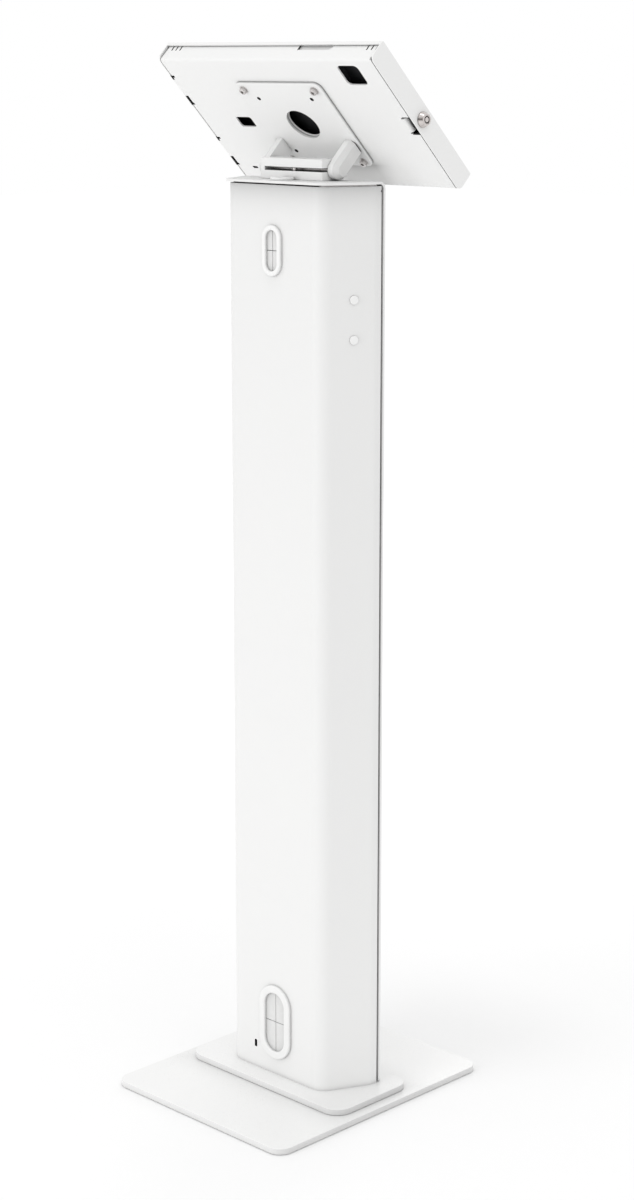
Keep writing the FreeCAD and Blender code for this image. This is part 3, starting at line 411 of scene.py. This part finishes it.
# %% Paint the case
TILT = math.radians(45)
AXLE = Vector((0, -8.2, 982.4)) * MM
PANEL_ZERO = AXLE + Matrix.Rotation(TILT, 3, "X") @ Vector((0, 28.8, 31.1)) * MM
HALF_SQUARE = 0.0375
HOLE_RADIUS = 0.0023
VENTS = (-0.1470, -0.1409, -0.1348, 0.1286, 0.1347, 0.1408)
TOP_NOTCH_END = -0.0420
SEAM_SIDE = -0.1466


def in_panel(coat):
    """Where a point lies on the tilted panel: across, along, and forward from the panel's rear face."""
    here = coat.place(centre=PANEL_ZERO, turn=(-TILT, 0, 0))
    return [coat.part(here, axis) for axis in ("X", "Y", "Z")]


def small_holes(across, along):
    from_x = across.size() - HALF_SQUARE
    from_y = along.size() - HALF_SQUARE
    return (from_x * from_x + from_y * from_y).below(HOLE_RADIUS * HOLE_RADIUS)


def hook_places(across, along):
    return across.between(0.1445, 0.1509) * (along.size() - 0.0448).size().below(0.0215)


tray_paint = powder_coat("tray_paint", WHITE)
across, along, forward = in_panel(tray_paint)
# Painted shade: the screw holes, the slit window, the strike notch's slit, the hook places, the vents and
# the top notch's end are painted nearly black.
paint_shade_or_light(tray_paint, small_holes(across, along))
paint_shade_or_light(tray_paint, (across - 0.1235).size().below(0.0036) * (along + 0.0685).size().below(0.0016))
paint_shade_or_light(tray_paint, across.below(-0.1395) * (along.size() - 0.0110).size().below(0.0009))
paint_shade_or_light(tray_paint, hook_places(across, along) * forward.above(0.0034))
at_top = along.above(0.0850) * forward.above(0.0160)
for vent_place in VENTS:
    paint_shade_or_light(tray_paint, at_top * (across - vent_place).size().below(0.0008))
paint_shade_or_light(tray_paint, at_top * (across - TOP_NOTCH_END).size().below(0.0004))
# Painted shade along the side seam between the tray and the front shell.
paint_shade_or_light(tray_paint, 0.60 * across.below(SEAM_SIDE) * forward.between(0.0036, 0.0070))
# Painted shadow of the plate on the tray just below it, on the -X side, strongest near the plate.
low_down = slope(tray_paint, along, -0.046, -0.058)
beside_arms = slope(tray_paint, across, -0.085, -0.058) * slope(tray_paint, across, 0.060, 0.0)
nearer = slope(tray_paint, along, -0.072, -0.058)
paint_shade_or_light(tray_paint, low_down * beside_arms * (0.20 + 0.25 * nearer))
dress(tray_paint, "rear_tray")

bezel_paint = powder_coat("bezel_paint", WHITE, cavity=0.0)
across, along, forward = in_panel(bezel_paint)
# Painted shade: the hook places are painted nearly black.
paint_shade_or_light(bezel_paint, hook_places(across, along) * forward.below(0.0085))
on_tongue = along.between(0.0840, 0.0870) * across.between(-0.0895, -0.0405) * forward.below(0.0240)
# Painted light: the tongue is set to plain white, without its painted corner shade.
paint_shade_or_light(bezel_paint, on_tongue, WHITE)
# Painted shadow of the tray's edge along the tongue's rear strip.
paint_shade_or_light(bezel_paint, 0.25 * on_tongue * forward.below(0.0187))
dress(bezel_paint, "front_bezel")

# %% [markdown]
# ## The plate, the strike tab and the hinge
# The plate's edge carries painted shade that darkens it towards the tray, and the strike tab painted shade
# that deepens in the notch. The walls of the slit that splits the hinge block, and the rims beside it, are
# painted nearly black as painted shade.

# %% Paint the plate, the strike tab and the hinge
BLOCK_SLIT = (0, 0, 0.9824)
plate_paint = powder_coat("plate_paint", WHITE)
across, along, forward = in_panel(plate_paint)
# Painted shade on the plate's edge, darker towards the tray, and nearly black in the screw holes.
thickness_share = 333.0 * forward
paint_shade_or_light(plate_paint, 0.90 * thickness_share * thickness_share)
paint_shade_or_light(plate_paint, small_holes(across, along))
dress(plate_paint, "mounting_plate")

strike_paint = powder_coat("strike_paint", WHITE)
across, along, forward = in_panel(strike_paint)
# Painted shade on the strike tab, darker with depth in the notch.
paint_shade_or_light(strike_paint, 160.0 * (forward - 0.0035))
dress(strike_paint, "lock_strike")

hinge_paint = powder_coat("hinge_paint", WHITE, corner=0.15, cavity=0.0)
here = hinge_paint.place(centre=BLOCK_SLIT)
# Painted shade: the slit's walls and the rims beside it are painted nearly black.
beside_slit = hinge_paint.part(here, "Z").size().below(0.0019)
behind_slit = hinge_paint.part(here, "X").below(0.0377) * hinge_paint.part(here, "Y").below(0.0092)
paint_shade_or_light(hinge_paint, beside_slit * behind_slit)
dress(hinge_paint, "hinge_block")
dress(powder_coat("arm_paint", WHITE, corner=0.5, cavity=0.0), "left_arm", "right_arm")

# %% [markdown]
# ## Moulded plastic
# The grommet rings, the small plugs and the arm covers are moulded in a mould with a spark-eroded
# surface. That gives a fine even grain, finer than the powder coat's, and a softer shine. The rings carry
# painted shade in their corners, and the covers' darker grey is painted shade.

# %% Write the moulded plastic
moulded = Finish("moulded_white", IOR=1.46, Specular_IOR_Level=0.4)
here = moulded.place()
spark = moulded.grain(here, 0.0005, 2.0, 0.6)
flow = moulded.grain(here, 0.02, 1.0)
pigment = moulded.blend(flow, (0.82, 0.82, 0.815), (0.85, 0.85, 0.845))
# Painted shade in the rings' corners and on their inner walls.
moulded.set(Base_Color=moulded.with_painted_shade(pigment, 0.006, corner=1.5), Roughness=0.42 + 0.16 * spark)
moulded.relief(spark, 0.00003, 0.4)
dress(moulded, "upper_grommet_ring", "lower_grommet_ring", "side_hole_plugs", "lid_hole_plug")

shaded_cover_plastic = Finish("shaded_cover_plastic", IOR=1.46, Specular_IOR_Level=0.5)
here = shaded_cover_plastic.place()
spark = shaded_cover_plastic.grain(here, 0.0005, 2.0, 0.6)
flow = shaded_cover_plastic.grain(here, 0.02, 1.0)
# Painted shade: the covers' grey is darker than the white paint, for the light the case above keeps from
# them.
pigment = shaded_cover_plastic.blend(flow, (0.71, 0.71, 0.705), (0.74, 0.74, 0.735))
shaded_cover_plastic.set(Base_Color=shaded_cover_plastic.with_painted_shade(pigment, corner=0.15, cavity=0.0),
                  Roughness=0.30 + 0.16 * spark)
shaded_cover_plastic.relief(spark, 0.00003, 0.4)
dress(shaded_cover_plastic, "left_arm_cover", "right_arm_cover", "axle_washers")

# %% [markdown]
# ## Rubber and foam
# The slit flaps of the grommets are thin light-grey rubber: matte, a little uneven, with painted shade
# where the ring's walls and the slits keep light away. The mat and the gasket are grey sheet rubber with a
# fine pebble, and the pads are closed-cell foam, whose open cells at the cut faces show as small pits.

# %% Write rubber and foam
flap_rubber = Finish("flap_rubber", IOR=1.5, Specular_IOR_Level=0.3)
here = flap_rubber.place()
bloom = flap_rubber.grain(here, 0.004, 3.0)
sheet_grey = flap_rubber.blend(bloom, (0.70, 0.70, 0.695), (0.77, 0.77, 0.765))
# Painted shade where the ring's walls and the slits keep light away.
flap_rubber.set(Base_Color=flap_rubber.blend(0.6 * flap_rubber.hidden(0.012), sheet_grey, BLACK),
                Roughness=0.62 + 0.14 * bloom)
flap_rubber.relief(flap_rubber.grain(here, 0.0006), 0.00004, 0.4, 0.0002)
dress(flap_rubber, "upper_grommet_flaps", "lower_grommet_flaps")

sheet_rubber = Finish("sheet_rubber", IOR=1.5, Specular_IOR_Level=0.3)
here = sheet_rubber.place()
pebble = sheet_rubber.spots(here, 900.0, "Distance")
dust = sheet_rubber.grain(here, 0.02, 3.0)
sheet_rubber.set(Base_Color=sheet_rubber.blend(dust, (0.36, 0.36, 0.36), (0.42, 0.42, 0.42)),
                 Roughness=0.70 + 0.15 * dust)
sheet_rubber.relief(pebble, 0.0001, 0.6)
dress(sheet_rubber, "base_mat", "base_gasket")

cell_foam = Finish("cell_foam", IOR=1.45, Specular_IOR_Level=0.2)
here = cell_foam.place()
cells = cell_foam.spots(here, 1600.0, "Distance")
cell_foam.set(Base_Color=cell_foam.blend(cells, (0.012, 0.012, 0.013), (0.055, 0.055, 0.058)),
               Roughness=0.85 + 0.1 * cells)
cell_foam.relief(cells, 0.0002, 0.8)
dress(cell_foam, "tablet_foam_pads", "bezel_foam_ring")

# %% [markdown]
# ## Metals
# The screws are machined steel, dulled by fine tool marks. The washers, hooks and brackets are zinc
# plated, where the zinc forms faint crystals of slightly different grey. The lock is nickel with a warm
# tint, turned on a lathe, so its marks are rings about its own axis; a dark band across its collar is a
# painted reflection. The screws, the zinc and the nickel carry painted shade in their corners.

# %% Write the metals
screw_steel = Finish("machined_steel", Metallic=1.0)
here = screw_steel.place(stretch=(1, 1, 6))
marks = screw_steel.grain(here, 0.0009, 4.0, 0.7)
bright = screw_steel.blend(marks, (0.50, 0.475, 0.465), (0.70, 0.68, 0.67))
# Painted shade in the screws' corners.
screw_steel.set(Base_Color=screw_steel.with_painted_shade(bright, 0.0015, corner=1.2, cavity=0.0),
                Roughness=0.30 + 0.22 * marks)
screw_steel.relief(marks, 0.00004, 0.4, 0.0002)
dress(screw_steel, "clamp_screw", "plate_screws", "arm_screws", "hinge_block_screws", "base_screws",
      "tilt_axle", "cam_screw")

zinc = Finish("zinc_plate", Metallic=1.0)
here = zinc.place()
shade = zinc.part(zinc.spots(here, 320.0, "Color"), "X")
bright = zinc.blend(shade, (0.56, 0.535, 0.525), (0.72, 0.70, 0.69))
# Painted shade in the zinc parts' corners.
zinc.set(Base_Color=zinc.with_painted_shade(bright, 0.002, corner=0.8, cavity=0.0),
         Roughness=0.34 + 0.16 * shade)
zinc.relief(zinc.grain(here, 0.0012, 3.0), 0.00004, 0.3, 0.0002)
dress(zinc, "plate_washers", "lid_bracket", "cover_hooks", "left_tablet_bracket", "right_tablet_bracket")

black_zinc = Finish("black_zinc", Metallic=1.0)
here = black_zinc.place()
film = black_zinc.grain(here, 0.002, 3.0)
black_zinc.set(Base_Color=black_zinc.blend(film, (0.030, 0.030, 0.032), (0.060, 0.058, 0.062)),
               Roughness=0.42 + 0.15 * film)
black_zinc.relief(film, 0.00003, 0.3, 0.0002)
dress(black_zinc, "lock_nut", "lock_cam")

brass = Finish("brass", Metallic=1.0)
here = brass.place()
turning = brass.grain(here, 0.001, 3.0)
brass.set(Base_Color=brass.blend(turning, (0.62, 0.44, 0.20), (0.74, 0.56, 0.28)),
          Roughness=0.32 + 0.15 * turning)
brass.relief(turning, 0.00003, 0.3)
dress(brass, "plate_inserts")

LOCK_CENTRE = (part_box("lock_housing")[0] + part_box("lock_housing")[1]) / 2
FACE_RADIUS = 0.0058
BAND_REACH = 0.00238
nickel = Finish("turned_nickel", Metallic=1.0)
here = nickel.place(centre=LOCK_CENTRE)
rings = nickel.node("ShaderNodeTexWave", {"wave_type": "RINGS", "rings_direction": "X"},
                    {"Vector": here, "Scale": 900.0, "Distortion": 0.6, "Detail": 2.0}, "Fac")
wear = nickel.grain(here, 0.003, 3.0)
warm = nickel.blend(wear, (0.52, 0.48, 0.465), (0.70, 0.66, 0.645))
sideways = nickel.part(here, "Y")
upwards = nickel.part(here, "Z")
collar = (sideways * sideways + upwards * upwards).above(FACE_RADIUS * FACE_RADIUS)
# Painted reflection: a dark band across the collar, just above its middle.
painted_reflection_band = 1 - (upwards - 0.0004).size() * (1.0 / BAND_REACH)
warm = nickel.blend(collar * painted_reflection_band, warm, (0.08, 0.07, 0.065))
# Painted shade in the lock's corners.
nickel.set(Base_Color=nickel.with_painted_shade(warm, 0.003),
           Roughness=0.16 + 0.08 * rings + 0.10 * wear)
nickel.relief(rings, 0.00002, 0.25, 0.0002)
dress(nickel, "lock_housing", "lock_barrel")

# %% [markdown]
# ## The tablet
# The tablet is switched off, so its glass is a black mirror with the display only just lighter than the
# border. Its back is a satin shell with the finest of grains.

# %% Write the tablet's finishes
SCREEN_CENTRE = (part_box("tablet_screen")[0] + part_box("tablet_screen")[1]) / 2

glass = Finish("screen_glass", IOR=1.52, Specular_IOR_Level=0.5, Coat_Roughness=0.02)
here = glass.place(centre=SCREEN_CENTRE, turn=(-TILT, 0, 0))
across = glass.part(here, "X").size()
along = glass.part(here, "Y").size()
display = across.below(0.0985) * along.below(0.074)
smear = glass.grain(here, 0.03, 3.0)
glass.set(Base_Color=glass.blend(display, (0.006, 0.006, 0.007), (0.014, 0.015, 0.018)),
          Roughness=0.05 + 0.05 * smear, Coat_Weight=0.3 * display)
glass.relief(smear, 0.00002, 0.1)
dress(glass, "tablet_screen")

shell = Finish("satin_shell", IOR=1.5, Specular_IOR_Level=0.45)
here = shell.place()
satin = shell.grain(here, 0.0004, 2.0)
shell.set(Base_Color=shell.blend(satin, (0.018, 0.018, 0.020), (0.030, 0.030, 0.033)),
          Roughness=0.38 + 0.14 * satin)
shell.relief(satin, 0.00002, 0.4, 0.0003)
dress(shell, "tablet_body")
